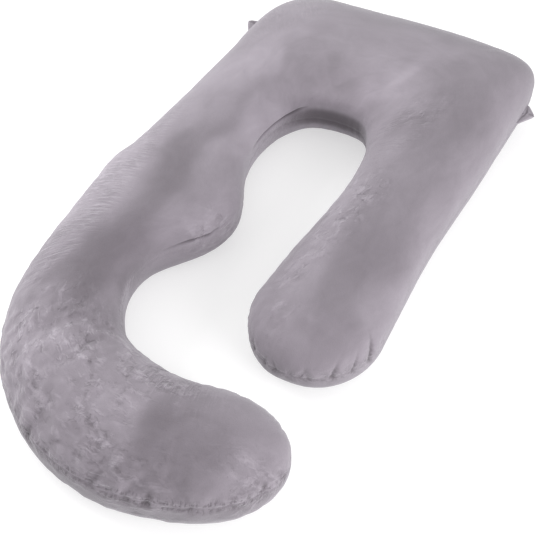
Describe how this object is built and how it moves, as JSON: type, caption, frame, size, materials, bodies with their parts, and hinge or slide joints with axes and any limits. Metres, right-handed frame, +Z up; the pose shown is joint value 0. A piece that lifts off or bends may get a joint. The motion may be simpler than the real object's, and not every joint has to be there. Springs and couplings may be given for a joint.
{
  "type": "body pillow",
  "caption": "Long looped body pillow with one straight arm, a long arm with an inner bump and a hooked foot, in plush grey-mauve cloth.",
  "frame": {"origin": "under the middle of the whole pillow, on the surface that it rests on", "axes": "+Z up out of the face, +Y along the length towards the head, +X towards the short straight arm"},
  "size_m": [0.848, 1.5302, 0.19],
  "materials": {
    "velvet": "short plush pile, grey-mauve, paler where it is seen edge on",
    "tab_cloth": "the same plush cloth, folded"
  },
  "bodies": {
    "root": {"pillow": "velvet", "tab_left": "tab_cloth", "tab_right": "tab_cloth"}
  },
  "joints": []
}
